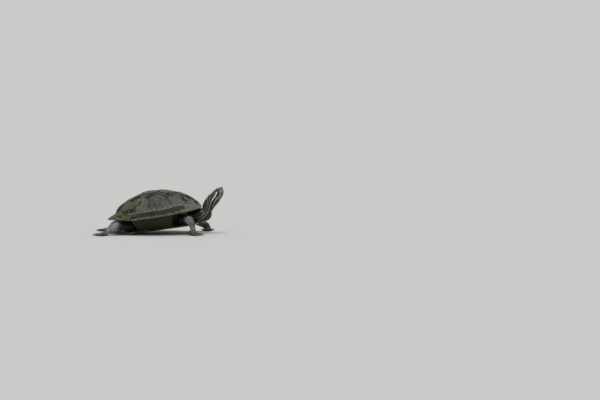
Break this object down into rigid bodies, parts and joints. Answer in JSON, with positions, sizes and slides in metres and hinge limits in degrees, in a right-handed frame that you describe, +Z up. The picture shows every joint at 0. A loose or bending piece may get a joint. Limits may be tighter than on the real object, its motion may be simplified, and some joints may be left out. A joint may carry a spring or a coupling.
{
  "type": "red-eared slider turtle",
  "caption": "Life-size basking freshwater turtle, belly on the floor, forequarters raised, neck stretched up; domed shell with separate horny plates.",
  "frame": {"origin": "on the floor below the middle of the turtle, at the centre of the rectangle that shell, head, feet and claws cover; the shell's middle plane is Y = 0", "axes": "+X forward, from tail to snout; +Y to the turtle's left; +Z up"},
  "size_m": [0.3022, 0.1873, 0.1082],
  "materials": {
    "carapace": "dry weathered horn with dried algae, dull olive grey",
    "plastron": "worn yellow horn with dark blotches",
    "skin": "damp scaly skin, blackish olive with cream to yellow stripes",
    "beak": "horn, satin",
    "eye": "wet gloss",
    "claw": "horn, satin, blackish brown"
  },
  "bodies": {
    "root": {"trunk": "skin", "vertebral_1": "carapace", "vertebral_2": "carapace", "vertebral_3": "carapace", "vertebral_4": "carapace", "vertebral_5": "carapace", "pleural_left_1": "carapace", "pleural_right_1": "carapace", "pleural_left_2": "carapace", "pleural_right_2": "carapace", "pleural_left_3": "carapace", "pleural_right_3": "carapace", "pleural_left_4": "carapace", "pleural_right_4": "carapace", "nuchal": "carapace", "marginal_left_1": "carapace", "marginal_right_1": "carapace", "marginal_left_2": "carapace", "marginal_right_2": "carapace", "marginal_left_3": "carapace", "marginal_right_3": "carapace", "marginal_left_4": "carapace", "marginal_right_4": "carapace", "marginal_left_5": "carapace", "marginal_right_5": "carapace", "marginal_left_6": "carapace", "marginal_right_6": "carapace", "marginal_left_7": "carapace", "marginal_right_7": "carapace", "marginal_left_8": "carapace", "marginal_right_8": "carapace", "marginal_left_9": "carapace", "marginal_right_9": "carapace", "marginal_left_10": "carapace", "marginal_right_10": "carapace", "marginal_left_11": "carapace", "marginal_right_11": "carapace", "marginal_left_12": "carapace", "marginal_right_12": "carapace", "plastron_gular": "plastron", "plastron_humeral": "plastron", "plastron_pectoral": "plastron", "plastron_abdominal": "plastron", "plastron_femoral": "plastron", "plastron_anal": "plastron", "head": "skin", "lower_jaw": "skin", "eye_left": "eye", "eye_right": "eye", "neck": "skin", "tail": "skin", "right_fore_leg": "skin", "right_fore_foot": "skin", "left_fore_leg": "skin", "left_fore_foot": "skin", "right_hind_leg": "skin", "right_hind_foot": "skin", "left_hind_leg": "skin", "left_hind_foot": "skin"}
  },
  "joints": []
}
